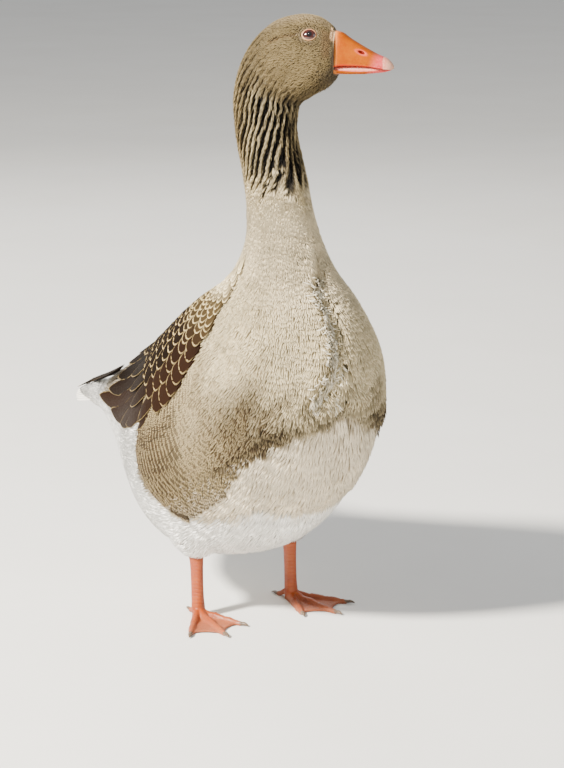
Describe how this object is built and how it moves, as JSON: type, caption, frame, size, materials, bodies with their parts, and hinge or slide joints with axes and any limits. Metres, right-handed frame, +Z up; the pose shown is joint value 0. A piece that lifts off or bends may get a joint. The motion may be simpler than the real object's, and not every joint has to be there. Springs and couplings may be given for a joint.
{
  "type": "domestic goose",
  "caption": "Standing domestic goose with grey-brown plumage, a white rear, an orange bill and orange webbed feet, its head turned to its left; still, life-size model.",
  "frame": {"origin": "middle of the outline at floor level, under the feet's soles", "axes": "+Z up, the goose faces -Y and its left side is +X"},
  "size_m": [0.254, 0.6, 0.7235],
  "materials": {
    "head_plumage": "matte",
    "upper_neck_plumage": "matte",
    "lower_neck_plumage": "matte",
    "body_plumage": "matte",
    "tail_plumage": "matte",
    "wing_plumage": "matte",
    "quills": "satin",
    "bill": "satin",
    "bill_nail": "satin",
    "gums": "satin",
    "eye": "gloss",
    "leg_skin": "satin",
    "claw": "satin"
  },
  "bodies": {
    "root": {"head": "head_plumage", "neck_upper": "upper_neck_plumage", "neck_lower": "lower_neck_plumage", "trunk": "body_plumage", "thigh_left": "body_plumage", "thigh_right": "body_plumage", "tail": "tail_plumage", "wing_left": "wing_plumage", "wing_right": "wing_plumage", "wing_quills_left": "quills", "wing_quills_right": "quills", "bill_upper": "bill", "bill_lower": "bill", "bill_nail": "bill_nail", "bill_gums": "gums", "eye_left": "eye", "eye_right": "eye", "shank_left": "leg_skin", "shank_right": "leg_skin", "foot_left": "leg_skin", "foot_right": "leg_skin", "hind_toe_left": "leg_skin", "hind_toe_right": "leg_skin", "claw_middle_left": "claw", "claw_outer_left": "claw", "claw_inner_left": "claw", "claw_hind_left": "claw", "claw_middle_right": "claw", "claw_outer_right": "claw", "claw_inner_right": "claw", "claw_hind_right": "claw"}
  },
  "joints": []
}
